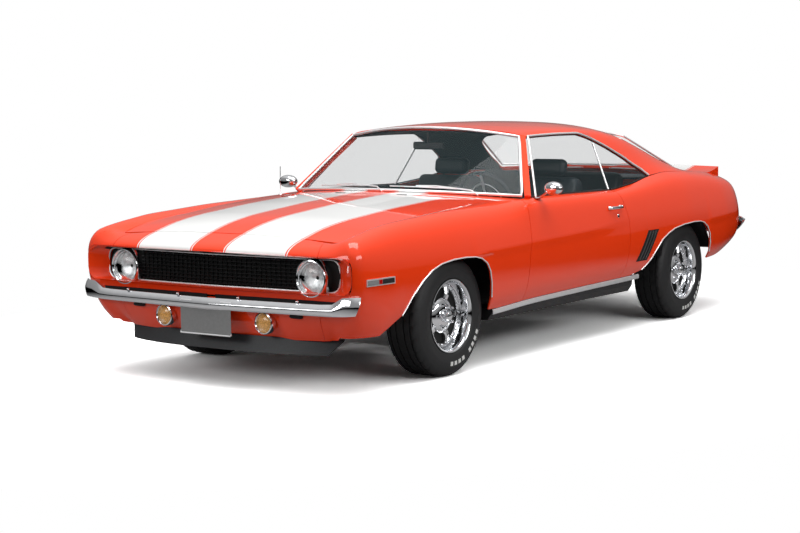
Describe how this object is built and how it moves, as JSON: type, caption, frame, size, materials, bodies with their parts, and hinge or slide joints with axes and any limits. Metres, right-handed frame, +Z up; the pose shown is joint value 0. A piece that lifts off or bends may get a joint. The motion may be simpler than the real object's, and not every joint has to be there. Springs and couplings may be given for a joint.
{
  "type": "muscle car",
  "caption": "Two-door hardtop muscle coupe with opening doors, hood and deck lid, steered front wheels and four free-rolling wheels.",
  "frame": {"origin": "On the floor under the middle of the car's bounding box, between the wheels", "axes": "+X towards the nose, +Y towards the car's left side, +Z up"},
  "size_m": [4.7228, 1.9782, 1.3006],
  "materials": {
    "paint": "gloss",
    "black_paint": "satin",
    "grille_black": "satin",
    "chrome": "polished",
    "steel": "painted satin",
    "exhaust_steel": "satin",
    "glass": "clear",
    "lamp_glass": "fluted",
    "amber_lens": "gloss",
    "red_lens": "gloss",
    "rubber": "matte",
    "vinyl": "grained",
    "dash": "matte",
    "wheel_plastic": "gloss",
    "tyre": "matte",
    "rim_chrome": "polished"
  },
  "bodies": {
    "body": {"floor_pan": "black_paint", "rockers": "black_paint", "front_subframe": "steel", "engine_bay": "black_paint", "engine_block": "steel", "rear_wheelhouses": "black_paint", "rear_rails": "steel", "rear_axle": "steel", "fuel_tank": "steel", "exhaust": "exhaust_steel", "fenders": "paint", "nose_panel": "paint", "front_valance": "paint", "air_dam": "rubber", "front_bumper": "chrome", "grille": "grille_black", "headlights": "lamp_glass", "turn_lamps": "amber_lens", "cowl_panel": "paint", "windshield": "glass", "roof_shell": "paint", "rear_window": "glass", "quarter_panels": "paint", "quarter_glass": "glass", "tail_panel": "paint", "tail_lamps": "red_lens", "rear_bumper": "chrome", "dashboard": "dash", "steering_column": "dash", "front_seats": "vinyl", "rear_seat": "vinyl", "parcel_shelf": "dash"},
    "hood": {"hood": "paint"},
    "deck_lid": {"deck_lid": "paint", "rear_spoiler": "paint"},
    "door_left": {"door_left": "paint", "door_glass_left": "glass", "mirror_left": "chrome"},
    "door_right": {"door_right": "paint", "door_glass_right": "glass", "mirror_right": "chrome"},
    "steering_wheel": {"steering_wheel": "wheel_plastic"},
    "knuckle_left": {"knuckle_left": "steel"},
    "knuckle_right": {"knuckle_right": "steel"},
    "wheel_front_left": {"tyre_front_left": "tyre", "rim_front_left": "rim_chrome"},
    "wheel_front_right": {"tyre_front_right": "tyre", "rim_front_right": "rim_chrome"},
    "wheel_rear_left": {"tyre_rear_left": "tyre", "rim_rear_left": "rim_chrome"},
    "wheel_rear_right": {"tyre_rear_right": "tyre", "rim_rear_right": "rim_chrome"}
  },
  "joints": [
    {"name": "door_left_hinge", "type": "hinge", "parent": "body", "child": "door_left", "pos_m": [0.7, 0.918, 0.6], "axis": [0, 0, -1], "range_deg": [0, 62]},
    {"name": "door_right_hinge", "type": "hinge", "parent": "body", "child": "door_right", "pos_m": [0.7, -0.918, 0.6], "axis": [0, 0, 1], "range_deg": [0, 62]},
    {"name": "hood_hinge", "type": "hinge", "parent": "body", "child": "hood", "pos_m": [0.925, 0, 0.935], "axis": [0, -1, 0], "range_deg": [0, 50]},
    {"name": "deck_lid_hinge", "type": "hinge", "parent": "body", "child": "deck_lid", "pos_m": [-1.68, 0, 1], "axis": [0, 1, 0], "range_deg": [0, 55]},
    {"name": "steer_left", "type": "hinge", "parent": "body", "child": "knuckle_left", "pos_m": [1.43, 0.707, 0.2065], "axis": [0, -0.1293, 0.9916], "range_deg": [-30, 30]},
    {"name": "steer_right", "type": "hinge", "parent": "body", "child": "knuckle_right", "pos_m": [1.43, -0.707, 0.2065], "axis": [0, 0.1293, 0.9916], "range_deg": [-30, 30]},
    {"name": "steering_wheel_turn", "type": "hinge", "parent": "body", "child": "steering_wheel", "pos_m": [0.262, 0.345, 0.845], "axis": [-0.9135, 0, 0.4067], "range_deg": [-510, 510]},
    {"name": "roll_front_left", "type": "hinge", "parent": "knuckle_left", "child": "wheel_front_left", "pos_m": [1.43, 0.759, 0.3185], "axis": [0, 1, 0], "continuous": true},
    {"name": "roll_front_right", "type": "hinge", "parent": "knuckle_right", "child": "wheel_front_right", "pos_m": [1.43, -0.759, 0.3185], "axis": [0, 1, 0], "continuous": true},
    {"name": "roll_rear_left", "type": "hinge", "parent": "body", "child": "wheel_rear_left", "pos_m": [-1.313, 0.759, 0.3185], "axis": [0, 1, 0], "continuous": true},
    {"name": "roll_rear_right", "type": "hinge", "parent": "body", "child": "wheel_rear_right", "pos_m": [-1.313, -0.759, 0.3185], "axis": [0, 1, 0], "continuous": true}
  ],
  "couplings": [
    {"joint": "steer_right", "follows": "steer_left", "ratio": 1},
    {"joint": "steering_wheel_turn", "follows": "steer_left", "ratio": 17}
  ]
}
